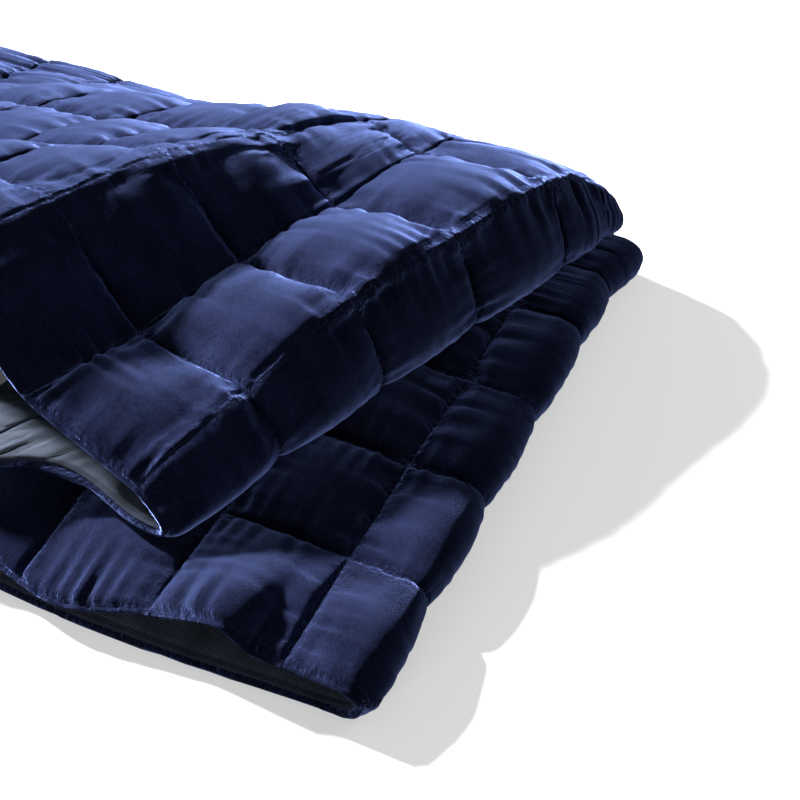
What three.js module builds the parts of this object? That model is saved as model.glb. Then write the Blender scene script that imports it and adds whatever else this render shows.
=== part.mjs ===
// A quilted velvet throw lying in loose back-and-forth folds. Millimetres, +Z up, resting on z = 0.
// u counts its quilted squares lengthwise, from the end on the floor to the end on top of the pile.
// v counts them across, from the hem in front to the hem at the back.
import * as THREE from "three";

// The throw laid flat
const SQUARE = 140;
const LONG_SQUARES = 18;
const WIDE_SQUARES = 6;

// Thickness: a thin sewn seam, and the puff of each square above it on either face along the throw.
// The puff is less where a layer is pressed, where a face lies inside a fold, and in the squares
// that hang down or are pushed together. ROW_FULLNESS is the share of it in each row across.
const SEAM_HALF_THICK = 2.2;
const VELVET_PUFF = [17, 17, 16, 10, 15, 13, 10, 8, 8, 9, 19, 10, 16, 17, 17, 17, 17, 15];
const LINING_PUFF = [7, 7, 7, 7, 7, 7, 7, 5, 2, 0, 3, 7, 7, 6, 6, 4, 1, 0];
const ROW_FULLNESS = [1, 1, 1, 1, 0.65, 0.5];
const PUFF_ROUNDING = 0.7;
const PUFF_UNEVEN = { share: 0.14, along: 2.3, across: 1.7 };
const LINING_THICK = 1.2;
const LINING_GAP = 1;
const HEM_WIDTH = 5;

// The lower pair of layers: one on the floor, folded back over itself at the right
const FLOOR_LAYER_Z = 10;
const FLOOR_LAYER_RUN = 440;
const RIGHT_FOLD_RADIUS = 19;
const RIGHT_FOLD_X = { most: -24, backCorner: -6 };
const LEFT_FOLD_RADIUS = { front: 28, back: 17 };

// The third layer's front hem lies further back between its folds than at them
const THIRD_LAYER_BACK = 40;

// How far back each crossing seam lies along a seam: the two back rows are pushed together
const LOWER_ROWS = [0, 140, 280, 420, 560, 655, 735];
const UPPER_ROWS = [0, 144, 288, 432, 577, 652, 695];

// The front hem of the three lower layers. Each row lifts the hem by rise and brings it forward by ahead
// around the place top, from the place from to the place to, fading out reach squares behind it.
const HEM_WAVES = [
  { from: -1, top: 1.2, to: 3.4, reach: 0.4, rise: -4, ahead: 12 },
  { from: 4.22, top: 4.45, to: 5.05, reach: 0.9, rise: 24, ahead: 0 },
  { from: 4.9, top: 5.7, to: 6.6, reach: 0.7, rise: -16, ahead: 18 },
];

// The upper pair of layers, one row for each lengthwise seam from the foot of its fold to its end.
// x and y place the seam's front end, turn swings it to the right of +Y in degrees, and heights
// run from the front hem to the back hem, one for each crossing seam.
const UPPER_SEAMS = [
  { name: "foot", x: -258, y: 68, turn: 19.6, heights: [76, 84, 84, 84, 84, 84, 73] },
  { name: "crest", x: -284, y: 82, turn: 20.5, heights: [110, 146, 182, 184, 178, 142, 96] },
  { name: "valley", x: -420, y: 108, turn: 17.3, heights: [154, 144, 152, 148, 142, 126, 74] },
  { name: "ridge", x: -546, y: 147, turn: 21, heights: [250, 245, 231, 190, 148, 100, 50] },
  { name: "shoulder", x: -672, y: 165, turn: 25.5, heights: [244, 238, 205, 164, 136, 80, 35] },
  { name: "slope", x: -790, y: 169, turn: 24.3, heights: [190, 190, 168, 138, 100, 46, 16] },
  { name: "tail", x: -898, y: 166, turn: 21.3, heights: [115, 138, 142, 124, 72, 30, 12] },
  { name: "low", x: -1005, y: 166, turn: 18.5, heights: [52, 82, 96, 84, 48, 22, 9] },
  { name: "floor", x: -1125, y: 168, turn: 17.5, heights: [10, 24, 34, 32, 18, 9, 7] },
  { name: "end", x: -1258, y: 170, turn: 17, heights: [6, 6, 6, 6, 6, 6, 6] },
];
const CREST_U = 10;

// How gently the cloth bends at a seam, how round its upper fold is, and the slack of the fold's face
const SEAM_BEND = 0.25;
const LOW_FOLD = { height: 30, rounding: 1.8 };
const TALL_FOLD = { height: 100, rounding: 1 };
const FOLD_SLACK = 1.25;

// How sharply the throw turns down at the crest: 0 is a smooth bend, 1 a full corner.
// It does so where the fold is tall.
const CREST_CREASE = 0.85;

// The middle of the throw's footprint, which is the part's origin
const ORIGIN_X = -620.9;
const ORIGIN_Y = 408.6;

// Facets: steps in each square, with more where the throw turns back and fewer where it is hidden
const STEPS_ACROSS = 4;
const STEPS_ALONG = 4;
const STEPS_IN_SQUARE = { 3: 8, 5: 5, 6: 5, 7: 5, 8: 3, 9: 12, 15: 3, 16: 3, 17: 3 };
const NORMAL_STEP = 0.05;

const VELVET = new THREE.MeshStandardMaterial({ color: 0x1b2147, roughness: 0.9, metalness: 0 });
const LINING = new THREE.MeshStandardMaterial({ color: 0x6f7c8e, roughness: 0.95, metalness: 0 });

function clamp01(t) {
  return Math.min(1, Math.max(0, t));
}

function smooth(t) {
  const c = clamp01(t);
  return c * c * (3 - 2 * c);
}

function lerp(a, b, t) {
  return a + (b - a) * t;
}

// A smooth curve through evenly spaced values
function along(values, t) {
  const last = values.length - 1;
  const k = Math.min(last - 1, Math.max(0, Math.floor(t)));
  const f = t - k;
  const before = values[k - 1] ?? 2 * values[k] - values[k + 1];
  const after = values[k + 2] ?? 2 * values[k + 1] - values[k];
  const slope0 = (values[k + 1] - before) / 2;
  const slope1 = (after - values[k]) / 2;
  return hermite(values[k], values[k + 1], slope0, slope1, f);
}

function hermite(a, b, slopeA, slopeB, f) {
  const f2 = f * f;
  const f3 = f2 * f;
  const ends = (2 * f3 - 3 * f2 + 1) * a + (3 * f2 - 2 * f3) * b;
  return ends + (f3 - 2 * f2 + f) * slopeA + (f3 - f2) * slopeB;
}

function upperSeam(k, v) {
  const seam = UPPER_SEAMS[k];
  const run = along(UPPER_ROWS, v);
  const turn = THREE.MathUtils.degToRad(seam.turn);
  return new THREE.Vector3(
    seam.x + run * Math.sin(turn),
    seam.y + run * Math.cos(turn),
    along(seam.heights, v),
  );
}

// How far along the throw the upper fold meets the layer under it
function footU(v) {
  return CREST_U - (FOLD_SLACK * upperSeam(0, v).distanceTo(upperSeam(1, v))) / SQUARE;
}

// The throw's middle surface from its lower end to the foot of the upper fold.
// The left fold lies where the length of cloth between the two right folds puts it.
function lowerPoint(u, v) {
  const foot = upperSeam(0, v);
  const rightX = lerp(RIGHT_FOLD_X.most, RIGHT_FOLD_X.backCorner, smooth(v - WIDE_SQUARES + 1));
  const y = along(LOWER_ROWS, v);
  const radius = lerp(LEFT_FOLD_RADIUS.front, LEFT_FOLD_RADIUS.back, v / WIDE_SQUARES);
  const secondZ = FLOOR_LAYER_Z + 2 * RIGHT_FOLD_RADIUS;
  const thirdZ = secondZ + 2 * radius;
  const total = footU(v) * SQUARE;
  const straight = total - FLOOR_LAYER_RUN - Math.PI * (RIGHT_FOLD_RADIUS + radius) - rightX;
  const drop = thirdZ - foot.z;
  const leftX = -(straight ** 2 - foot.x ** 2 - drop ** 2) / (2 * (straight + foot.x));

  let s = u * SQUARE;
  if (s < FLOOR_LAYER_RUN) {
    return new THREE.Vector3(rightX - FLOOR_LAYER_RUN + s, y, FLOOR_LAYER_Z);
  }
  s -= FLOOR_LAYER_RUN;
  const rightArc = Math.PI * RIGHT_FOLD_RADIUS;
  if (s < rightArc) {
    const angle = s / RIGHT_FOLD_RADIUS;
    const x = rightX + RIGHT_FOLD_RADIUS * Math.sin(angle);
    return new THREE.Vector3(x, y, FLOOR_LAYER_Z + RIGHT_FOLD_RADIUS * (1 - Math.cos(angle)));
  }
  s -= rightArc;
  const secondRun = rightX - leftX;
  if (s < secondRun) {
    return new THREE.Vector3(rightX - s, y, secondZ);
  }
  s -= secondRun;
  const leftArc = Math.PI * radius;
  const thirdRun = Math.hypot(foot.x - leftX, drop);
  const swungY = lerp(y, foot.y, smooth(s / (leftArc + thirdRun)));
  if (s < leftArc) {
    const angle = s / radius;
    return new THREE.Vector3(leftX - radius * Math.sin(angle), swungY, secondZ + radius * (1 - Math.cos(angle)));
  }
  const t = (s - leftArc) / thirdRun;
  const back = THIRD_LAYER_BACK * Math.sin(Math.PI * t) ** 2 * (1 - v / WIDE_SQUARES);
  return new THREE.Vector3(lerp(leftX, foot.x, t), swungY + back, lerp(thirdZ, foot.z, smooth(t)));
}

// The direction in which the third layer reaches the foot of the upper fold
function footDirection(v) {
  const u = footU(v);
  return lowerPoint(u, v).sub(lowerPoint(u - NORMAL_STEP, v));
}

// How tall the upper fold is, from 0 where it is low to 1
function foldTallness(v) {
  const rise = upperSeam(1, v).z - upperSeam(0, v).z;
  return clamp01((rise - LOW_FOLD.height) / (TALL_FOLD.height - LOW_FOLD.height));
}

// The middle surface from the foot of the upper fold to the end on top.
// The fold itself, between foot and crest, is rounder than the bends at the other seams,
// and rounder still where it is low.
function upperPoint(u, v) {
  const k = Math.min(UPPER_SEAMS.length - 2, Math.max(0, Math.floor(u - CREST_U) + 1));
  const from = k === 0 ? footU(v) : CREST_U + k - 1;
  const f = (u - from) / (CREST_U + k - from);
  const a = upperSeam(k, v);
  const b = upperSeam(k + 1, v);
  const after = k + 2 < UPPER_SEAMS.length ? upperSeam(k + 2, v) : b;
  const slopeA = k === 0 ? footDirection(v) : b.clone().sub(upperSeam(k - 1, v)).multiplyScalar(SEAM_BEND);
  const slopeB = after.clone().sub(a).multiplyScalar(SEAM_BEND);
  const tall = foldTallness(v);
  const corner = b.clone().sub(a).multiplyScalar(SEAM_BEND);
  if (k === 1) {
    slopeA.lerp(corner, CREST_CREASE * tall);
  }
  if (k === 0) {
    slopeB.lerp(corner, CREST_CREASE * tall);
    const length = lerp(LOW_FOLD.rounding, TALL_FOLD.rounding, tall) * a.distanceTo(b);
    slopeA.setLength(length);
    slopeB.setLength(length);
  }
  return new THREE.Vector3(
    hermite(a.x, b.x, slopeA.x, slopeB.x, f),
    hermite(a.y, b.y, slopeA.y, slopeB.y, f),
    hermite(a.z, b.z, slopeA.z, slopeB.z, f),
  );
}

function middle(u, v) {
  if (u > footU(v)) {
    return upperPoint(u, v);
  }
  const p = lowerPoint(u, v);
  for (const wave of HEM_WAVES) {
    const up = smooth((u - wave.from) / (wave.top - wave.from));
    const down = smooth((wave.to - u) / (wave.to - wave.top));
    const share = Math.min(up, down) * (1 - smooth(v / wave.reach));
    p.y -= wave.ahead * share;
    p.z += wave.rise * share;
  }
  return p;
}

// The direction in which the velvet faces
function velvetNormal(u, v) {
  const u0 = Math.max(0, u - NORMAL_STEP);
  const u1 = Math.min(LONG_SQUARES, u + NORMAL_STEP);
  const v0 = Math.max(0, v - NORMAL_STEP);
  const v1 = Math.min(WIDE_SQUARES, v + NORMAL_STEP);
  const du = middle(u1, v).sub(middle(u0, v));
  const dv = middle(u, v1).sub(middle(u, v0));
  return dv.cross(du).normalize();
}

// How full a square is at this place: nothing at its seams and one in the middle
function fullness(u, v) {
  const a = 2 * (u - Math.floor(u)) - 1;
  const b = 2 * (v - Math.floor(v)) - 1;
  return ((1 - a * a) * (1 - b * b)) ** PUFF_ROUNDING;
}

// Which square along the throw, and which row across it, a place lies in
function squareAt(u) {
  return Math.min(LONG_SQUARES - 1, Math.floor(u));
}

function rowAt(v) {
  return Math.min(WIDE_SQUARES - 1, Math.floor(v));
}

// Squares differ in how full they are
function squareFullness(u, v) {
  const swing = Math.sin(PUFF_UNEVEN.along * squareAt(u) + PUFF_UNEVEN.across * rowAt(v));
  return ROW_FULLNESS[rowAt(v)] * (1 + PUFF_UNEVEN.share * swing);
}

function lengthwiseSteps() {
  const steps = [];
  for (let i = 0; i < LONG_SQUARES; i++) {
    const count = STEPS_IN_SQUARE[i] ?? STEPS_ALONG;
    for (let n = 0; n < count; n++) {
      steps.push(i + n / count);
    }
  }
  steps.push(LONG_SQUARES);
  return withHems(steps);
}

function crosswiseSteps() {
  return withHems(Array.from({ length: WIDE_SQUARES * STEPS_ACROSS + 1 }, (_, n) => n / STEPS_ACROSS));
}

// Adds a step at the stitched line of each hem, where the lining ends
function withHems(steps) {
  const hem = HEM_WIDTH / SQUARE;
  const last = steps.length - 1;
  return [steps[0], hem, ...steps.slice(1, last), steps[last] - hem, steps[last]];
}

// Points of the velvet face, the back of the filling, and the two sides of the lining
function layerGrids() {
  const grids = { velvet: [], back: [], liningInside: [], liningOutside: [] };
  for (const u of lengthwiseSteps()) {
    const row = { velvet: [], back: [], liningInside: [], liningOutside: [] };
    for (const v of crosswiseSteps()) {
      const centre = middle(u, v);
      const normal = velvetNormal(u, v);
      const full = fullness(u, v) * squareFullness(u, v);
      const velvet = centre.clone().addScaledVector(normal, SEAM_HALF_THICK + VELVET_PUFF[squareAt(u)] * full);
      velvet.z = Math.max(0, velvet.z);
      const backDepth = SEAM_HALF_THICK + LINING_PUFF[squareAt(u)] * full;
      row.velvet.push(velvet);
      row.back.push(centre.clone().addScaledVector(normal, -backDepth));
      row.liningInside.push(centre.clone().addScaledVector(normal, -backDepth - LINING_GAP));
      row.liningOutside.push(centre.clone().addScaledVector(normal, -backDepth - LINING_GAP - LINING_THICK));
    }
    for (const name of Object.keys(grids)) {
      grids[name].push(row[name]);
    }
  }
  return grids;
}

function withoutHems(grid) {
  return grid.slice(1, -1).map((row) => row.slice(1, -1));
}

// A closed sheet between two grids of points, the first one facing out along the velvet
function closedSheet(front, back) {
  const rows = front.length;
  const columns = front[0].length;
  const positions = [front, back].flat(2).flatMap((p) => [p.x - ORIGIN_X, p.y - ORIGIN_Y, p.z]);
  const frontId = (i, j) => i * columns + j;
  const backId = (i, j) => rows * columns + i * columns + j;
  const index = [];
  const quad = (a, b, c, d) => index.push(a, b, c, a, c, d);
  for (let i = 0; i + 1 < rows; i++) {
    for (let j = 0; j + 1 < columns; j++) {
      quad(frontId(i, j), frontId(i, j + 1), frontId(i + 1, j + 1), frontId(i + 1, j));
      quad(backId(i, j), backId(i + 1, j), backId(i + 1, j + 1), backId(i, j + 1));
    }
    quad(frontId(i, 0), frontId(i + 1, 0), backId(i + 1, 0), backId(i, 0));
    const e = columns - 1;
    quad(frontId(i, e), backId(i, e), backId(i + 1, e), frontId(i + 1, e));
  }
  for (let j = 0; j + 1 < columns; j++) {
    quad(frontId(0, j), backId(0, j), backId(0, j + 1), frontId(0, j + 1));
    const e = rows - 1;
    quad(frontId(e, j), frontId(e, j + 1), backId(e, j + 1), backId(e, j));
  }
  const geometry = new THREE.BufferGeometry();
  geometry.setAttribute("position", new THREE.Float32BufferAttribute(positions, 3));
  geometry.setIndex(index);
  geometry.computeVertexNormals();
  return geometry;
}

function namedMesh(name, geometry, material) {
  const mesh = new THREE.Mesh(geometry, material);
  mesh.name = name;
  return mesh;
}

const grids = layerGrids();
const lining = closedSheet(withoutHems(grids.liningInside), withoutHems(grids.liningOutside));

const throwBlanket = new THREE.Group();
throwBlanket.add(namedMesh("quilted_velvet", closedSheet(grids.velvet, grids.back), VELVET));
throwBlanket.add(namedMesh("woven_lining", lining, LINING));

export default throwBlanket;
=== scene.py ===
"""A quilted velvet throw with a woven lining, lying in four loose layers on a pale floor.

The throw's middle surface repeats the CAD part's, in millimetres. The velvet and the lining
are inflated away from it by a small cloth simulation, sewn down along the quilting seams.
u counts squares along the throw and v counts squares across it.
"""

import math

import bpy
import numpy as np
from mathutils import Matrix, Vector


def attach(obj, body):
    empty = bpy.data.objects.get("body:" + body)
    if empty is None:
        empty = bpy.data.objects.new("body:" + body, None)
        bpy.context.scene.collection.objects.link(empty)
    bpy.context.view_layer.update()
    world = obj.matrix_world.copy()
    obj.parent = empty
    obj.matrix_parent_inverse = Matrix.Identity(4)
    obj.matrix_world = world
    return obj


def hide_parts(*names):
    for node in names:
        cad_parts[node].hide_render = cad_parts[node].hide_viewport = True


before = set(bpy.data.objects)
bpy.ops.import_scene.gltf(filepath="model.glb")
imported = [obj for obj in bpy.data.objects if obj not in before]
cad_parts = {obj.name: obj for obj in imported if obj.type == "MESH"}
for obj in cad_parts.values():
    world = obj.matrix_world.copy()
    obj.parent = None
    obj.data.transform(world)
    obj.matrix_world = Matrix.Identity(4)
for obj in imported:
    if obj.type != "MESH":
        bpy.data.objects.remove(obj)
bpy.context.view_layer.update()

MM = 0.001
TINY = 1e-6

# The throw laid flat, in quilted squares, and its hem
SQUARE = 140
LONG_SQUARES = 18
WIDE_SQUARES = 6
HEM_WIDTH = 5
HEM = HEM_WIDTH / SQUARE

# The hem's half thickness as a share of a seam's: at its edge, how much it swells, and how far round
SEAM_HALF_THICK = 2.2
HEM_ROUND = {"edge": 0.45, "swell": 0.55, "round": 0.85}

# How far the velvet and the lining stand off the seams in each square along the throw,
# and the share of it in each row across
VELVET_PUFF = np.array([17, 17, 16, 10, 15, 13, 10, 8, 8, 9, 19, 10, 16, 17, 17, 17, 17, 15])
LINING_PUFF = np.array([7, 7, 7, 7, 7, 7, 7, 5, 2, 0, 3, 7, 7, 6, 6, 4, 1, 0])
ROW_FULLNESS = np.array([1, 1, 1, 1, 0.65, 0.5])
PUFF_ROUNDING = 0.62
PUFF_UNEVEN = {"share": 0.14, "along": 2.3, "across": 1.7}
LINING_THICK = 1.2
LINING_GAP = 1.0

# How much fuller the velvet is than in the CAD part, everywhere and on the slope below the hump,
# and how much that varies within a square
LOFT = 1.14
SLOPE_LOFT = 1.6
SOFT_UNEVEN = {"share": 0.16, "scale": 2.2, "seed": 5}

# The three lower layers
FLOOR_LAYER_Z = 10
FLOOR_LAYER_RUN = 440
RIGHT_FOLD_RADIUS = 19
RIGHT_FOLD_X = {"most": -24, "back_corner": -6}
LEFT_FOLD_RADIUS = {"front": 28, "back": 17}
THIRD_LAYER_BACK = 40
LOWER_ROWS = [0, 140, 280, 420, 560, 655, 735]

# Where the front hem of the lower layers waves: place along, reach across, rise and lead
HEM_WAVES = [
    {"from": -1, "top": 1.2, "to": 3.4, "reach": 0.4, "rise": -4, "ahead": 12},
    {"from": 4.22, "top": 4.45, "to": 5.05, "reach": 0.9, "rise": 24, "ahead": 0},
    {"from": 4.9, "top": 5.7, "to": 6.6, "reach": 0.7, "rise": -16, "ahead": 18},
]

# The top layer: how far back each row lies, then each seam's front end, its turn in degrees,
# and its height at each row
UPPER_ROWS = [0, 144, 288, 432, 577, 652, 695]
UPPER_SEAMS = [
    {"x": -258, "y": 68, "turn": 19.6, "heights": [76, 84, 84, 84, 84, 84, 73]},
    {"x": -284, "y": 82, "turn": 20.5, "heights": [110, 146, 182, 184, 178, 142, 96]},
    {"x": -420, "y": 108, "turn": 17.3, "heights": [154, 144, 152, 148, 142, 126, 74]},
    {"x": -546, "y": 147, "turn": 21, "heights": [250, 245, 231, 190, 148, 100, 50]},
    {"x": -672, "y": 165, "turn": 25.5, "heights": [244, 238, 205, 164, 136, 80, 35]},
    {"x": -790, "y": 169, "turn": 24.3, "heights": [190, 190, 168, 138, 100, 46, 16]},
    {"x": -898, "y": 166, "turn": 21.3, "heights": [115, 138, 142, 124, 72, 30, 12]},
    {"x": -1005, "y": 166, "turn": 18.5, "heights": [52, 82, 96, 84, 48, 22, 9]},
    {"x": -1125, "y": 168, "turn": 17.5, "heights": [10, 24, 34, 32, 18, 9, 7]},
    {"x": -1258, "y": 170, "turn": 17, "heights": [6, 6, 6, 6, 6, 6, 6]},
]
CREST_U = 10
HUMP_U = 12
SEAM_BEND = 0.25
LOW_FOLD = {"height": 30, "rounding": 1.8}
TALL_FOLD = {"height": 100, "rounding": 1}
FOLD_SLACK = 1.25
CREST_CREASE = 0.85

# The part's origin among these places, and the step that its normals are measured over, in squares
ORIGIN = np.array([-620.9, 408.6, 0])
NORMAL_STEP = 0.05

# Mesh lines in each square and in a hem, and how far the first one is from its seam.
# The velvet's back, which doesn't show, has only every fourth line.
VELVET_LINES_LONG = [8, 8, 8, 28, 36, 36, 12, 8, 8, 36, 36, 36, 36, 36, 28, 20, 16, 12]
VELVET_LINES_WIDE = [36, 36, 36, 36, 36, 28]
LINING_LINES_LONG = [36] * LONG_SQUARES
LINING_LINES_WIDE = [18, 6, 6, 6, 6, 8]
HEM_LINES = 4
SEAM_STEP = 1.8
BACK_SKIP = 4

# Cloth simulation: its rounds, how firmly lengths, diagonals and bends are held, the push of a round
# in millimetres, and the last share of the rounds, when the push is weaker
VELVET_ROUNDS = 110
LINING_ROUNDS = 30
STRETCH_HOLD = 0.9
SHEAR_HOLD = 0.12
BEND_HOLD = 0.02
PRESSURE = 0.05
SETTLE = {"share": 0.25, "push": 0.3}
MOST_SLACK = 1.12

# Limits of the simulation in millimetres: the velvet's least height, its room above the planned height
# where it shows and where it is hidden, and the lining's room below its plan and in all
VELVET_LEAST = 0.5
VISIBLE_ROOM = 2.0
HIDDEN_ROOM = 0.4
LINING_ROOM = {"below": 0.6, "all": 2.6}
LINING_OFF_FLOOR = 0.3

# Beside a seam, within this distance, the cloth can rise but can't lean over the seam
SEAM_GRIP = 14

# Inside the lower fold the lining stands a little farther off the velvet: place along and distance
LOWER_FOLD = {"from": 2.9, "to": 3.9, "fade": 0.2, "clear": 2.6}

# Where the velvet is pressed flat, in squares along: on the floor, and between the layers
ON_FLOOR = {"to": 2.6, "fade": 0.6}
BETWEEN = {"from": 6.2, "fade_in": 0.8, "to": 9.0, "fade_out": 0.5}

# The seam along the fold's crest lies less deep than the others, over this part of a square.
# In the first row the cloth rolls over it. The seam along the hump does the same in its first rows.
# Both fade out near the hems, over this many millimetres.
CREST_LIFT = {"height": 6, "reach": 0.14}
CREST_ROLL = {"height": 16, "reach": 0.45, "fade": 0.12}
HUMP_LIFT = {"height": 12, "reach": 0.4, "rows": 3.8, "fade": 1.2}
LIFT_EDGE_FADE = 40

# Gathers beside the seams and hems, and ripples of the hem itself, in millimetres.
# The next seam or hem takes its waves from another line of the noise.
GATHER = {"seam": 3.2, "hem": 4.5, "length": 9, "peak": 14, "next_line": 7.3}
GATHER_SEEDS = {"along": 21, "across": 22}
LINING_GATHER_SHARE = 0.35
HEM_RIPPLE = {"height": 1.3, "length": 8, "reach": 16, "next_line": 3.5, "seed": 11}
BACK_HEM_SHARE = 0.3
NOISE_SIDE = 256

# The photograph's camera: metres, degrees, and millimetres of lens and sensor
CAMERA_AT = (0.9849, -1.1016, 1.1564)
CAMERA_DOWN = 43.46
CAMERA_TURN = 25.33
CAMERA_LENS = 67.5
SENSOR = 36

# A strong key light on the left, weak fills at the back right and in front, and soft light all round,
# in metres and watts
LIGHTS = [
    {"name": "key", "at": (-6.1, 1.0, 4.15), "size": 0.7, "power": 6600},
    {"name": "fill", "at": (2.0, 1.7, 0.9), "size": 1.6, "power": 24},
    {"name": "front", "at": (0.2, -2.6, 0.4), "size": 1.0, "power": 27},
]
LIGHTS_TO = (0.31, -0.028, 0.1)
WORLD_LIGHT = 0.24
WHITE = (1, 1, 1, 1)

# The floor in metres, half its side, just under the throw. The part of it under the top layer, with
# corners in millimetres, doesn't glow: it is a patch of painted shade where the throw shades the floor.
FLOOR_HALF_SIDE = 12
FLOOR_DEPTH = 0.0005
FLOOR_GLOW = 0.47
FLOOR_COLOUR = (0.5, 0.5, 0.5, 1)
SHADE_PATCH_CORNERS = [(-300, 120), (-70, 710), (-300, 770), (-1035, 810), (-1220, 195), (-560, 170)]
SHADE_PATCH_DEPTH = 0.0003

# Colours of the cloths. The lining is darker along its hem, up to this band of millimetres.
VELVET_DARK = (0.0016, 0.0019, 0.0052, 1)
VELVET_LIGHT = (0.0058, 0.0074, 0.021, 1)
VELVET_SHEEN = (0.29, 0.41, 1, 1)
LINING_DARK = (0.018, 0.0228, 0.033, 1)
LINING_LIGHT = (0.045, 0.0552, 0.0768, 1)
LINING_HEM = (0.0132, 0.0162, 0.0252, 1)
LINING_HEM_BAND = {"from": 10, "to": 12}
WEAVE_SHARE = 0.22

# How fast the seams' puckers fade away from a seam, in millimetres
PUCKER_REACH = 6


def smooth(t):
    """A soft step from 0 to 1."""
    c = np.clip(t, 0, 1)
    return c * c * (3 - 2 * c)


def lerp(a, b, t):
    return a + (b - a) * t


def hermite(a, b, slope_a, slope_b, f):
    """A curve from a to b with a slope at each end."""
    f2 = f * f
    f3 = f2 * f
    ends = (2 * f3 - 3 * f2 + 1) * a + (3 * f2 - 2 * f3) * b
    return ends + (f3 - 2 * f2 + f) * slope_a + (f3 - f2) * slope_b


def along(values, t):
    """A smooth curve through evenly spaced values."""
    first = 2 * values[0] - values[1]
    final = 2 * values[-1] - values[-2]
    held = np.array([first, *values, final], float)
    k = np.clip(np.floor(t), 0, len(values) - 2).astype(int)
    a = held[k + 1]
    b = held[k + 2]
    return hermite(a, b, (b - held[k]) / 2, (held[k + 3] - a) / 2, t - k)


def length_of(vectors):
    return np.sqrt((vectors * vectors).sum(-1))


def unit(vectors):
    return vectors / np.maximum(length_of(vectors), TINY)[..., None]


def noise(x, y, seed):
    """Smooth noise from -1 to 1 on a grid of seeded random values."""
    table = np.random.default_rng(seed).uniform(-1, 1, (NOISE_SIDE, NOISE_SIDE))
    xi = np.floor(x).astype(int)
    yi = np.floor(y).astype(int)
    fx = smooth(x - xi)
    fy = smooth(y - yi)
    x0 = xi % NOISE_SIDE
    x1 = (xi + 1) % NOISE_SIDE
    y0 = yi % NOISE_SIDE
    y1 = (yi + 1) % NOISE_SIDE
    return lerp(lerp(table[x0, y0], table[x1, y0], fx), lerp(table[x0, y1], table[x1, y1], fx), fy)


def upper_seam(k, v):
    """Points of one seam of the top layer."""
    seam = UPPER_SEAMS[k]
    run = along(UPPER_ROWS, v)
    turn = math.radians(seam["turn"])
    x = seam["x"] + run * math.sin(turn)
    y = seam["y"] + run * math.cos(turn)
    return np.stack([x, y, along(seam["heights"], v)], -1)


def foot_u(v):
    """How far along the throw the upper fold meets the layer under it."""
    return CREST_U - FOLD_SLACK * length_of(upper_seam(0, v) - upper_seam(1, v)) / SQUARE


def lower_point(u, v):
    """The middle surface from the lower end to the foot of the upper fold."""
    foot_x, foot_y, foot_z = np.moveaxis(upper_seam(0, v), -1, 0)
    right_x = lerp(RIGHT_FOLD_X["most"], RIGHT_FOLD_X["back_corner"], smooth(v - WIDE_SQUARES + 1))
    y = along(LOWER_ROWS, v)
    radius = lerp(LEFT_FOLD_RADIUS["front"], LEFT_FOLD_RADIUS["back"], v / WIDE_SQUARES)
    second_z = FLOOR_LAYER_Z + 2 * RIGHT_FOLD_RADIUS
    third_z = second_z + 2 * radius
    right_arc = math.pi * RIGHT_FOLD_RADIUS
    left_arc = math.pi * radius
    straight = foot_u(v) * SQUARE - FLOOR_LAYER_RUN - right_arc - left_arc - right_x
    drop = third_z - foot_z
    left_x = -(straight**2 - foot_x**2 - drop**2) / (2 * (straight + foot_x))
    second_run = right_x - left_x
    third_run = np.hypot(foot_x - left_x, drop)

    on_floor = u * SQUARE
    on_right = on_floor - FLOOR_LAYER_RUN
    on_second = on_right - right_arc
    on_left = on_second - second_run
    right_angle = on_right / RIGHT_FOLD_RADIUS
    left_angle = on_left / radius
    t = (on_left - left_arc) / third_run
    parts = [
        on_floor < FLOOR_LAYER_RUN,
        on_right < right_arc,
        on_second < second_run,
        on_left < left_arc,
    ]
    x_parts = [
        right_x - FLOOR_LAYER_RUN + on_floor,
        right_x + RIGHT_FOLD_RADIUS * np.sin(right_angle),
        right_x - on_second,
        left_x - radius * np.sin(left_angle),
    ]
    z_parts = [
        np.full_like(on_floor, FLOOR_LAYER_Z),
        FLOOR_LAYER_Z + RIGHT_FOLD_RADIUS * (1 - np.cos(right_angle)),
        np.full_like(on_floor, second_z),
        second_z + radius * (1 - np.cos(left_angle)),
    ]
    x = np.select(parts, x_parts, lerp(left_x, foot_x, t))
    z = np.select(parts, z_parts, lerp(third_z, foot_z, smooth(t)))
    back = THIRD_LAYER_BACK * np.sin(math.pi * np.clip(t, 0, 1)) ** 2 * (1 - v / WIDE_SQUARES)
    swung_y = lerp(y, foot_y, smooth(on_left / (left_arc + third_run))) + back
    return np.stack([x, swung_y, z], -1)


def foot_direction(v):
    """The way the third layer runs where it meets the upper fold."""
    u = foot_u(v)
    return lower_point(u, v) - lower_point(u - NORMAL_STEP, v)


def fold_tallness(v):
    """How tall the upper fold is, from 0 where it is low to 1."""
    rise = upper_seam(1, v)[..., 2] - upper_seam(0, v)[..., 2]
    return np.clip((rise - LOW_FOLD["height"]) / (TALL_FOLD["height"] - LOW_FOLD["height"]), 0, 1)


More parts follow.
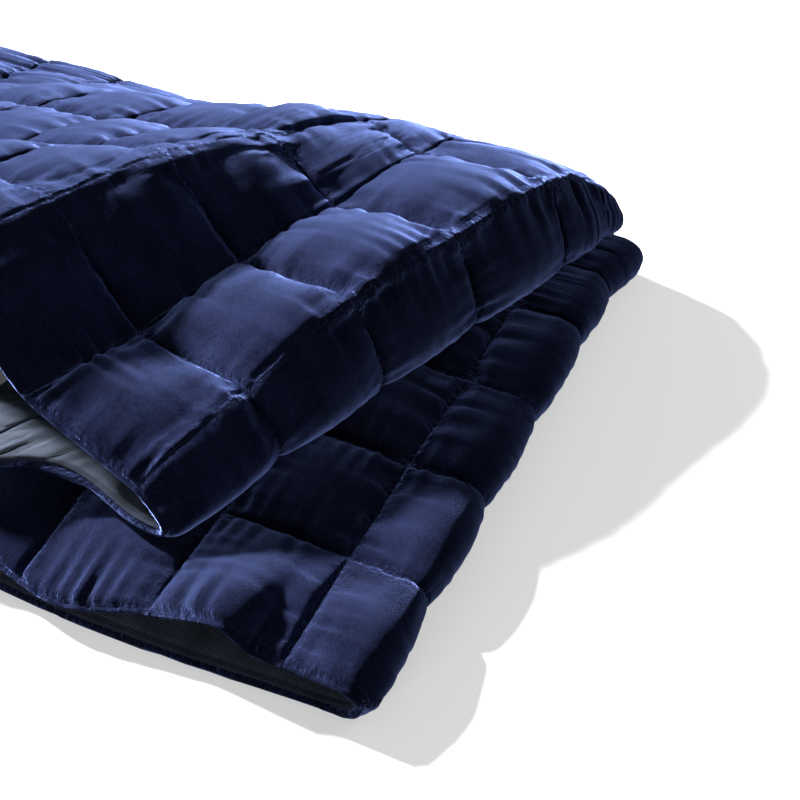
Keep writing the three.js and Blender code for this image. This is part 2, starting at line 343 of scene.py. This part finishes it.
def upper_stretch(k, u, v):
    """The middle surface between two neighbouring seams of the top layer."""
    start = foot_u(v) if k == 0 else CREST_U + k - 1
    f = ((u - start) / (CREST_U + k - start))[..., None]
    a = upper_seam(k, v)
    b = upper_seam(k + 1, v)
    after = upper_seam(k + 2, v) if k + 2 < len(UPPER_SEAMS) else b
    slope_b = (after - a) * SEAM_BEND
    corner = (b - a) * SEAM_BEND
    tall = fold_tallness(v)[..., None]
    if k == 0:
        reach = lerp(LOW_FOLD["rounding"], TALL_FOLD["rounding"], tall) * length_of(b - a)[..., None]
        slope_a = unit(foot_direction(v)) * reach
        slope_b = unit(lerp(slope_b, corner, CREST_CREASE * tall)) * reach
    else:
        slope_a = (b - upper_seam(k - 1, v)) * SEAM_BEND
    if k == 1:
        slope_a = lerp(slope_a, corner, CREST_CREASE * tall)
    return hermite(a, b, slope_a, slope_b, f)


def middle(u, v):
    """The throw's middle surface at arrays of u and v."""
    u, v = np.broadcast_arrays(np.asarray(u, float), np.asarray(v, float))
    points = lower_point(u, v)
    for wave in HEM_WAVES:
        up = smooth((u - wave["from"]) / (wave["top"] - wave["from"]))
        down = smooth((wave["to"] - u) / (wave["to"] - wave["top"]))
        share = np.minimum(up, down) * (1 - smooth(v / wave["reach"]))
        points[..., 1] -= wave["ahead"] * share
        points[..., 2] += wave["rise"] * share
    stretch = np.clip(np.floor(u - CREST_U) + 1, 0, len(UPPER_SEAMS) - 2).astype(int)
    upper = u > foot_u(v)
    for k in range(len(UPPER_SEAMS) - 1):
        here = upper & (stretch == k)
        if here.any():
            points[here] = upper_stretch(k, u[here], v[here])
    return points


def velvet_normal(u, v):
    """The middle surface's normal on the velvet's side."""
    u_after = np.minimum(u + NORMAL_STEP, LONG_SQUARES)
    u_before = np.maximum(u - NORMAL_STEP, 0)
    v_after = np.minimum(v + NORMAL_STEP, WIDE_SQUARES)
    v_before = np.maximum(v - NORMAL_STEP, 0)
    du = middle(u_after, v) - middle(u_before, v)
    dv = middle(u, v_after) - middle(u, v_before)
    return unit(np.cross(dv, du))


def puffs(u, v, by_square):
    """How far a face stands off its seams at each place, in millimetres."""
    i = np.minimum(np.floor(u), LONG_SQUARES - 1).astype(int)
    j = np.minimum(np.floor(v), WIDE_SQUARES - 1).astype(int)
    swing = np.sin(PUFF_UNEVEN["along"] * i + PUFF_UNEVEN["across"] * j)
    most = by_square[i] * ROW_FULLNESS[j] * (1 + PUFF_UNEVEN["share"] * swing)
    a = 2 * (u - np.floor(u)) - 1
    b = 2 * (v - np.floor(v)) - 1
    return most * ((1 - a * a) * (1 - b * b)) ** PUFF_ROUNDING


def seam_distance(t, squares):
    """Millimetres to the nearest seam or stitched hem line, and which of those is a hem."""
    to_seam = np.abs(t - np.round(t)) * SQUARE
    to_hem = np.minimum(np.abs(t - HEM), np.abs(squares - HEM - t)) * SQUARE
    inner = (t > 0.5) & (t < squares - 0.5)
    return np.where(inner, to_seam, to_hem), ~inner


def nearest_seam(u, v):
    """Millimetres to the nearest seam or stitched hem line of both directions."""
    return np.minimum(seam_distance(u, LONG_SQUARES)[0], seam_distance(v, WIDE_SQUARES)[0])


def edge_distance(u, v):
    """Millimetres to the nearest edge of the throw."""
    along_edge = np.minimum(u, LONG_SQUARES - u) * SQUARE
    across_edge = np.minimum(v, WIDE_SQUARES - v) * SQUARE
    return np.minimum(along_edge, across_edge)


def grid_lines(counts, hem_lines):
    """Places of the mesh lines along or across the throw, and which of them are sewn down."""
    squares = len(counts)
    places = list(np.linspace(0, HEM, hem_lines, endpoint=False))
    sewn = [True] * hem_lines
    for i, count in enumerate(counts):
        start = HEM if i == 0 else i
        end = squares - HEM if i == squares - 1 else i + 1
        step = min(SEAM_STEP / SQUARE, (end - start) / count)
        places += [start, *np.linspace(start + step, end - step, count - 1)]
        sewn += [True] + [False] * (count - 1)
    places += list(np.linspace(squares - HEM, squares, hem_lines + 1))
    sewn += [True] * (hem_lines + 1)
    return np.array(places), np.array(sewn)


def cloth_grid(long_counts, wide_counts, hem_lines):
    """The mesh lines of a cloth, u and v where they cross, and 1 where it isn't sewn down."""
    u_lines, u_sewn = grid_lines(long_counts, hem_lines)
    v_lines, v_sewn = grid_lines(wide_counts, hem_lines)
    u, v = np.meshgrid(u_lines, v_lines, indexing="ij")
    free = (~(u_sewn[:, None] | v_sewn[None, :])).astype(float)
    return {"u_lines": u_lines, "v_lines": v_lines, "u": u, "v": v, "free": free}


def hold_length(a, b, free_a, free_b, rest, hold):
    """Moves the ends of the threads between a and b towards their rest length, in place."""
    d = b - a
    now = np.maximum(length_of(d), TINY)
    share = hold * (now - rest) / (now * np.maximum(free_a + free_b, TINY))
    move = d * share[..., None]
    a += move * free_a[..., None]
    b -= move * free_b[..., None]


def hold_stretch(points, free, rest_u, rest_v):
    """Holds the threads along and across, every second one at a time."""
    for start in (0, 1):
        ends = slice(start, -1, 2)
        nexts = slice(start + 1, None, 2)
        spans = slice(start, None, 2)
        hold_length(points[ends], points[nexts], free[ends], free[nexts], rest_u[spans], STRETCH_HOLD)
        hold_length(
            points[:, ends],
            points[:, nexts],
            free[:, ends],
            free[:, nexts],
            rest_v[:, spans],
            STRETCH_HOLD,
        )


def hold_shear(points, free, rest):
    """Holds both diagonals of every cell of the weave."""
    early = slice(None, -1)
    late = slice(1, None)
    for a_cut, b_cut in (((early, early), (late, late)), ((early, late), (late, early))):
        a = points[a_cut].copy()
        b = points[b_cut].copy()
        old_a = a.copy()
        old_b = b.copy()
        hold_length(a, b, free[a_cut], free[b_cut], rest, SHEAR_HOLD)
        points[a_cut] += a - old_a
        points[b_cut] += b - old_b


def face_normals(points):
    """Normals of a grid of points on the velvet's side."""
    du = np.gradient(points, axis=0)
    dv = np.gradient(points, axis=1)
    return unit(np.cross(dv, du))


def rest_lengths(start, lines, axis):
    """Thread lengths between neighbouring mesh lines, with slack where the throw is pushed together."""
    now = length_of(np.diff(start, axis=axis))
    flat = np.diff(lines) * SQUARE
    flat = flat[:, None] if axis == 0 else flat[None, :]
    return now * np.clip(flat / np.maximum(now, TINY), 1, MOST_SLACK)


def upright(points, start, outward, u, v):
    """The cloth with its lean taken out beside the seams, so that it doesn't cross them."""
    shift = points - start
    rise = outward * (shift * outward).sum(-1)[..., None]
    return start + rise + (shift - rise) * smooth(nearest_seam(u, v) / SEAM_GRIP)[..., None]


def inflate(grid, start, centre, outward, low, high, rounds, facing):
    """Cloth blown out from centre where it isn't sewn down, and kept between two heights.

    facing is 1 for a cloth on the velvet's side of the middle surface and -1 for one behind it.
    """
    free = grid["free"]
    rest_u = rest_lengths(start, grid["u_lines"], 0)
    rest_v = rest_lengths(start, grid["v_lines"], 1)
    rest_shear = np.hypot((rest_u[:, :-1] + rest_u[:, 1:]) / 2, (rest_v[:-1] + rest_v[1:]) / 2)
    settle_from = int(rounds * (1 - SETTLE["share"]))
    points = start.copy()
    for turn in range(rounds):
        push = PRESSURE if turn < settle_from else PRESSURE * SETTLE["push"]
        points += face_normals(points) * (push * facing * free)[..., None]
        hold_stretch(points, free, rest_u, rest_v)
        hold_shear(points, free, rest_shear)
        around = np.zeros_like(points)
        around[1:-1, 1:-1] = (
            points[:-2, 1:-1] + points[2:, 1:-1] + points[1:-1, :-2] + points[1:-1, 2:]
        ) / 4 - points[1:-1, 1:-1]
        points += around * (BEND_HOLD * free)[..., None]
        height = ((points - centre) * outward).sum(-1)
        points += outward * (np.clip(height, low, high) - height)[..., None] * free[..., None]
    return upright(points, start, outward, grid["u"], grid["v"])


def gathers(u, v):
    """Heights of the small folds that run out from the seams and hems, in millimetres."""
    total = np.zeros_like(u)
    directions = (
        (u, v, WIDE_SQUARES, GATHER_SEEDS["along"]),
        (v, u, LONG_SQUARES, GATHER_SEEDS["across"]),
    )
    for place, across, squares, seed in directions:
        distance, at_hem = seam_distance(across, squares)
        most = np.where(at_hem, GATHER["hem"], GATHER["seam"])
        most = most * np.where(at_hem & (v > WIDE_SQUARES / 2), BACK_HEM_SHARE, 1)
        wave = noise(place * SQUARE / GATHER["length"], np.round(across) * GATHER["next_line"], seed)
        near = distance / GATHER["peak"]
        total += most * wave * near * np.exp(1 - near)
    return total


def hem_ripple(u, v):
    """How far the velvet's hem waves off the middle surface, in millimetres."""
    to_edge = np.minimum(v, WIDE_SQUARES - v) * SQUARE
    reach = np.exp(-to_edge / HEM_RIPPLE["reach"])
    at_back = v > WIDE_SQUARES / 2
    line = HEM_RIPPLE["next_line"] * at_back
    wave = noise(u * SQUARE / HEM_RIPPLE["length"], line, HEM_RIPPLE["seed"])
    return HEM_RIPPLE["height"] * wave * reach * np.where(at_back, BACK_HEM_SHARE, 1)


def hidden_part(u):
    """One where the velvet is pressed between layers or on the floor, fading to nothing."""
    floor = 1 - smooth((u - ON_FLOOR["to"]) / ON_FLOOR["fade"])
    after = smooth((u - BETWEEN["from"]) / BETWEEN["fade_in"])
    before = 1 - smooth((u - BETWEEN["to"]) / BETWEEN["fade_out"])
    return np.maximum(floor, after * before)


def crest_lift(u, v):
    """How far the crest's and the hump's seams stand above the depth of the others, in millimetres."""
    first_row = smooth((1 - v) / CREST_ROLL["fade"])
    height = lerp(CREST_LIFT["height"], CREST_ROLL["height"], first_row)
    reach = lerp(CREST_LIFT["reach"], CREST_ROLL["reach"], first_row)
    near_crossing = np.where(v < 1, first_row, 1)
    crest = height * near_crossing * np.exp(-(((u - CREST_U) / reach) ** 2))
    hump_rows = smooth((HUMP_LIFT["rows"] - v) / HUMP_LIFT["fade"])
    hump = HUMP_LIFT["height"] * hump_rows * np.exp(-(((u - HUMP_U) / HUMP_LIFT["reach"]) ** 2))
    return (crest + hump) * smooth(edge_distance(u, v) / LIFT_EDGE_FADE)


def half_thickness(u, v):
    """The velvet's half thickness at its seams, rounded off towards the edge of its hem."""
    to_edge = edge_distance(u, v)
    share = np.clip(to_edge / HEM_WIDTH, 0, 1)
    swell = HEM_ROUND["edge"] + HEM_ROUND["swell"] * np.sin(math.pi * share * HEM_ROUND["round"])
    return np.where(to_edge < HEM_WIDTH, SEAM_HALF_THICK * swell, SEAM_HALF_THICK)


def velvet_fullness(u, v, lift, hidden):
    """How far the velvet is planned to stand off its seams, in millimetres."""
    scale = SOFT_UNEVEN["scale"]
    soft = 1 + SOFT_UNEVEN["share"] * noise(u * scale, v * scale, SOFT_UNEVEN["seed"])
    on_slope = (u > HUMP_U - 1) & (u < HUMP_U)
    loft = np.where(on_slope, SLOPE_LOFT, LOFT) * soft
    return np.maximum(lift, puffs(u, v, VELVET_PUFF) * lerp(loft, 1, hidden))


def velvet_face(grid, sheet, outward, base):
    """The velvet's outer face: inflated, then gathered beside its seams and hems."""
    u = grid["u"]
    v = grid["v"]
    free = grid["free"]
    centre = sheet + outward * hem_ripple(u, v)[..., None]
    lift = crest_lift(u, v)
    hidden = hidden_part(u)
    full = velvet_fullness(u, v, lift, hidden)
    start = centre + outward * (base + np.where(free > 0, full, lift))[..., None]
    high = SEAM_HALF_THICK + full + lerp(VISIBLE_ROOM, HIDDEN_ROOM, hidden)
    rounds = VELVET_ROUNDS
    face = inflate(grid, start, centre, outward, VELVET_LEAST, high, rounds, 1)
    folds = gathers(u, v) * (1 - hidden) * free
    face += face_normals(face) * folds[..., None]
    face[..., 2] = np.maximum(face[..., 2], 0)
    return face


def lining_outside(grid, centre, outward):
    """The lining's face that shows, behind the velvet."""
    u = grid["u"]
    v = grid["v"]
    puff = puffs(u, v, LINING_PUFF)
    in_fold = smooth((u - LOWER_FOLD["from"]) / LOWER_FOLD["fade"])
    in_fold = in_fold * smooth((LOWER_FOLD["to"] - u) / LOWER_FOLD["fade"])
    base = SEAM_HALF_THICK + LINING_GAP + LINING_THICK + LOWER_FOLD["clear"] * in_fold
    folds = gathers(u, v) * LINING_GATHER_SHARE
    start = centre + outward * (base + (puff + folds) * grid["free"])[..., None]
    low = base + puff - LINING_ROOM["below"]
    high = low + LINING_ROOM["all"]
    rounds = LINING_ROUNDS
    outside = inflate(grid, start, centre, outward, low, high, rounds, -1)
    outside[..., 2] = np.maximum(outside[..., 2], LINING_OFF_FLOOR)
    return outside


def point_numbers(first, points):
    """The numbers of a grid of points, counted from first."""
    rows, columns = points.shape[:2]
    return first + np.arange(rows * columns).reshape(rows, columns)


def quads(numbers, flip):
    """A face for every cell of a grid."""
    a = numbers[:-1, :-1]
    b = numbers[:-1, 1:]
    c = numbers[1:, 1:]
    d = numbers[1:, :-1]
    corners = [a, d, c, b] if flip else [a, b, c, d]
    return np.stack(corners, -1).reshape(-1, 4).tolist()


def borders(numbers):
    """The four edges of a grid, each followed the same way round it."""
    edges = (numbers[:, 0], numbers[::-1, -1], numbers[0, ::-1], numbers[-1, :])
    return [edge.tolist() for edge in edges]


def join_to_coarse(fine, coarse):
    """Faces between a fine edge and one that has every fourth of its points."""
    faces = []
    for k in range(len(coarse) - 1):
        f = fine[k * BACK_SKIP : k * BACK_SKIP + BACK_SKIP + 1]
        c0 = coarse[k]
        c1 = coarse[k + 1]
        faces += [(f[0], f[1], c0), (f[1], f[2], c0), (f[2], c1, c0), (f[2], f[3], c1), (f[3], f[4], c1)]
    return faces


def join_to_equal(a, b):
    """Faces between two edges that have as many points."""
    return [(a[k], a[k + 1], b[k + 1], b[k]) for k in range(len(a) - 1)]


def cloth_object(name, front, back, uv, mark, values, join):
    """A smooth mesh in metres from two faces joined at their edges.

    It keeps the flat cloth's own coordinates, and one value at each point under the name of the mark.
    """
    front_numbers = point_numbers(0, front)
    back_numbers = point_numbers(front_numbers.size, back)
    faces = quads(front_numbers, False) + quads(back_numbers, True)
    for front_edge, back_edge in zip(borders(front_numbers), borders(back_numbers)):
        faces += join(front_edge, back_edge)
    points = np.concatenate([front.reshape(-1, 3), back.reshape(-1, 3)])
    mesh = bpy.data.meshes.new(name)
    mesh.from_pydata(((points - ORIGIN) * MM).tolist(), [], faces)
    layer = mesh.uv_layers.new(name="cloth")
    corner = np.empty(len(mesh.loops), np.int32)
    mesh.loops.foreach_get("vertex_index", corner)
    layer.data.foreach_set("uv", (uv[corner] * SQUARE * MM).astype(np.float32).ravel())
    attribute = mesh.attributes.new(mark, "FLOAT", "POINT")
    attribute.data.foreach_set("value", values.astype(np.float32))
    mesh.polygons.foreach_set("use_smooth", np.ones(len(mesh.polygons), bool))
    mesh.update()
    piece = bpy.data.objects.new(name, mesh)
    bpy.context.scene.collection.objects.link(piece)
    return piece


def make_velvet():
    """The velvet with its padding: a fine face, and a coarse back that doesn't show."""
    grid = cloth_grid(VELVET_LINES_LONG, VELVET_LINES_WIDE, HEM_LINES)
    u = grid["u"]
    v = grid["v"]
    outward = velvet_normal(u, v)
    sheet = middle(u, v)
    base = half_thickness(u, v)
    face = velvet_face(grid, sheet, outward, base)
    depth = base + puffs(u, v, LINING_PUFF)
    kept = (slice(None, None, BACK_SKIP), slice(None, None, BACK_SKIP))
    back = (sheet - outward * depth[..., None])[kept]
    flat = np.stack([u, v], -1)
    uv = np.concatenate([flat.reshape(-1, 2), flat[kept].reshape(-1, 2)])
    near_seam = np.exp(-nearest_seam(uv[:, 0], uv[:, 1]) / PUCKER_REACH)
    return cloth_object("velvet_quilt", face, back, uv, "seam", near_seam, join_to_coarse)


def make_lining():
    """The lining: a thin sheet behind the velvet."""
    grid = cloth_grid(LINING_LINES_LONG, LINING_LINES_WIDE, 0)
    u = grid["u"]
    v = grid["v"]
    normal = velvet_normal(u, v)
    outside = lining_outside(grid, middle(u, v), -normal)
    inside = outside + normal * LINING_THICK
    uv = np.tile(np.stack([u, v], -1).reshape(-1, 2), (2, 1))
    to_edge = edge_distance(uv[:, 0], uv[:, 1])
    return cloth_object("woven_back", inside, outside, uv, "edge", to_edge, join_to_equal)


def new_material(name, settings):
    """A material with some of its shader's own sockets set."""
    material = bpy.data.materials.new(name)
    material.use_nodes = True
    nodes = material.node_tree.nodes
    shader = nodes["Principled BSDF"]
    for socket, value in settings.items():
        shader.inputs[socket].default_value = value
    return material, nodes, material.node_tree.links, shader


def add(nodes, kind, **values):
    """A shader node with its settings and the values of its unlinked sockets."""
    node = nodes.new(kind)
    for name, value in values.items():
        if hasattr(node, name):
            setattr(node, name, value)
        else:
            node.inputs[name.replace("_", " ")].default_value = value
    return node


def stretched_noise(nodes, links, flat, detail, scale, across=1):
    """Noise on the flat cloth's coordinates, with its own share of the scale across the cloth."""
    mapping = add(nodes, "ShaderNodeMapping", Scale=(1, across, 1))
    links.new(flat, mapping.inputs["Vector"])
    texture = add(nodes, "ShaderNodeTexNoise", Scale=scale, Detail=detail)
    links.new(mapping.outputs["Vector"], texture.inputs["Vector"])
    return texture.outputs["Fac"]


def math_node(nodes, links, operation, *values):
    """A sum or product of links and plain numbers."""
    node = add(nodes, "ShaderNodeMath", operation=operation)
    for socket, value in zip(node.inputs, values):
        if isinstance(value, float):
            socket.default_value = value
        else:
            links.new(value, socket)
    return node.outputs[0]


def two_colours(nodes, links, value, stops):
    """A colour between two, each reached at its own value."""
    ramp = add(nodes, "ShaderNodeValToRGB")
    for element, (position, colour) in zip(ramp.color_ramp.elements, stops):
        element.position = position
        element.color = colour
    links.new(value, ramp.inputs["Fac"])
    return ramp.outputs["Color"]


def bumped(nodes, links, height, strength, distance):
    """A bump node on a height."""
    bump = add(nodes, "ShaderNodeBump", Strength=strength, Distance=distance)
    links.new(height, bump.inputs["Height"])
    return bump


def velvet_material():
    """Very dark pile with a strong blue sheen, cloudy and grainy, puckered beside the seams."""
    settings = {
        "Roughness": 0.85,
        "Specular IOR Level": 0,
        "Sheen Weight": 1,
        "Sheen Roughness": 0.3,
        "Sheen Tint": VELVET_SHEEN,
    }
    material, nodes, links, shader = new_material("navy_velvet", settings)
    flat = add(nodes, "ShaderNodeUVMap", uv_map="cloth").outputs["UV"]
    clouds = stretched_noise(nodes, links, flat, detail=4, scale=22)
    grain = stretched_noise(nodes, links, flat, detail=4, scale=480, across=0.4)
    pile = stretched_noise(nodes, links, flat, detail=3, scale=1300, across=0.6)
    puckers = stretched_noise(nodes, links, flat, detail=2, scale=150)
    mixed = add(nodes, "ShaderNodeMix", data_type="FLOAT", Factor=0.5)
    links.new(clouds, mixed.inputs["A"])
    links.new(grain, mixed.inputs["B"])
    stops = [(0.36, VELVET_DARK), (0.64, VELVET_LIGHT)]
    colour = two_colours(nodes, links, mixed.outputs["Result"], stops)
    links.new(colour, shader.inputs["Base Color"])
    seam = add(nodes, "ShaderNodeAttribute", attribute_name="seam").outputs["Fac"]
    pulls = math_node(nodes, links, "MULTIPLY", seam, puckers)
    pull = bumped(nodes, links, pulls, strength=0.8, distance=0.006)
    bump = bumped(nodes, links, pile, strength=0.8, distance=0.0013)
    links.new(pull.outputs["Normal"], bump.inputs["Normal"])
    links.new(bump.outputs["Normal"], shader.inputs["Normal"])
    return material


def lining_material():
    """A plain grey-blue weave, cloudy, and darker along its hem."""
    settings = {"Roughness": 0.9, "Specular IOR Level": 0.05}
    material, nodes, links, shader = new_material("grey_blue_weave", settings)
    flat = add(nodes, "ShaderNodeUVMap", uv_map="cloth").outputs["UV"]
    threads = []
    for turn in (0, math.pi / 2):
        mapping = add(nodes, "ShaderNodeMapping", Rotation=(0, 0, turn))
        links.new(flat, mapping.inputs["Vector"])
        wave = add(nodes, "ShaderNodeTexWave", Scale=160, Distortion=1.5, Detail=2)
        links.new(mapping.outputs["Vector"], wave.inputs["Vector"])
        threads.append(wave.outputs["Fac"])
    weave = math_node(nodes, links, "ADD", *threads)
    clouds = stretched_noise(nodes, links, flat, detail=4, scale=40)
    tone = math_node(nodes, links, "MULTIPLY_ADD", weave, WEAVE_SHARE, clouds)
    colour = two_colours(nodes, links, tone, [(0.45, LINING_DARK), (0.95, LINING_LIGHT)])
    edge = add(nodes, "ShaderNodeAttribute", attribute_name="edge").outputs["Fac"]
    band = add(nodes, "ShaderNodeMapRange")
    band.inputs["From Min"].default_value = LINING_HEM_BAND["from"]
    band.inputs["From Max"].default_value = LINING_HEM_BAND["to"]
    links.new(edge, band.inputs["Value"])
    mixed = add(nodes, "ShaderNodeMix", data_type="RGBA", A=LINING_HEM)
    links.new(band.outputs["Result"], mixed.inputs["Factor"])
    links.new(colour, mixed.inputs["B"])
    links.new(mixed.outputs["Result"], shader.inputs["Base Color"])
    bump = bumped(nodes, links, weave, strength=0.6, distance=0.0008)
    links.new(bump.outputs["Normal"], shader.inputs["Normal"])
    return material


def make_floor():
    """A pale floor that glows a little, apart from a patch of painted shade under the top layer, which
    doesn't glow.
    """
    corners = [(-1, -1), (1, -1), (1, 1), (-1, 1)]
    points = [(x * FLOOR_HALF_SIDE, y * FLOOR_HALF_SIDE, -FLOOR_DEPTH) for x, y in corners]
    points += [((x - ORIGIN[0]) * MM, (y - ORIGIN[1]) * MM, -SHADE_PATCH_DEPTH) for x, y in SHADE_PATCH_CORNERS]
    open_face = range(len(corners))
    shade_patch_face = range(len(corners), len(points))
    mesh = bpy.data.meshes.new("floor")
    mesh.from_pydata(points, [], [list(open_face), list(shade_patch_face)])
    mesh.polygons[1].material_index = 1
    floor = bpy.data.objects.new("floor", mesh)
    bpy.context.scene.collection.objects.link(floor)
    # The patch under the top layer gets no glow: it is painted shade under the throw.
    for name, glow in (("pale_floor", FLOOR_GLOW), ("painted_shade_floor", 0)):
        settings = {
            "Base Color": FLOOR_COLOUR,
            "Roughness": 0.9,
            "Emission Color": WHITE,
            "Emission Strength": glow,
        }
        mesh.materials.append(new_material(name, settings)[0])
    floor.visible_diffuse = False


def make_lights():
    """The lamps, all turned to the throw, and the soft light all round."""
    for plan in LIGHTS:
        light = bpy.data.lights.new(plan["name"], "AREA")
        light.shape = "DISK"
        light.size = plan["size"]
        light.energy = plan["power"]
        lamp = bpy.data.objects.new(plan["name"], light)
        lamp.location = plan["at"]
        aim = Vector(LIGHTS_TO) - Vector(plan["at"])
        lamp.rotation_euler = aim.to_track_quat("-Z", "Y").to_euler()
        bpy.context.scene.collection.objects.link(lamp)
    world = bpy.data.worlds.new("soft_studio")
    world.use_nodes = True
    background = world.node_tree.nodes["Background"]
    background.inputs["Color"].default_value = WHITE
    background.inputs["Strength"].default_value = WORLD_LIGHT
    bpy.context.scene.world = world
    bpy.context.scene.view_settings.view_transform = "Standard"


def make_camera():
    lens = bpy.data.cameras.new("photo_camera")
    lens.lens = CAMERA_LENS
    lens.sensor_width = SENSOR
    camera = bpy.data.objects.new("photo_camera", lens)
    camera.location = CAMERA_AT
    camera.rotation_euler = (math.radians(90 - CAMERA_DOWN), 0, math.radians(CAMERA_TURN))
    bpy.context.scene.collection.objects.link(camera)
    bpy.context.scene.camera = camera


make_floor()
make_lights()
make_camera()

velvet = make_velvet()
velvet.data.materials.append(velvet_material())
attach(velvet, "root")
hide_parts("quilted_velvet")

lining = make_lining()
lining.data.materials.append(lining_material())
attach(lining, "root")
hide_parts("woven_lining")
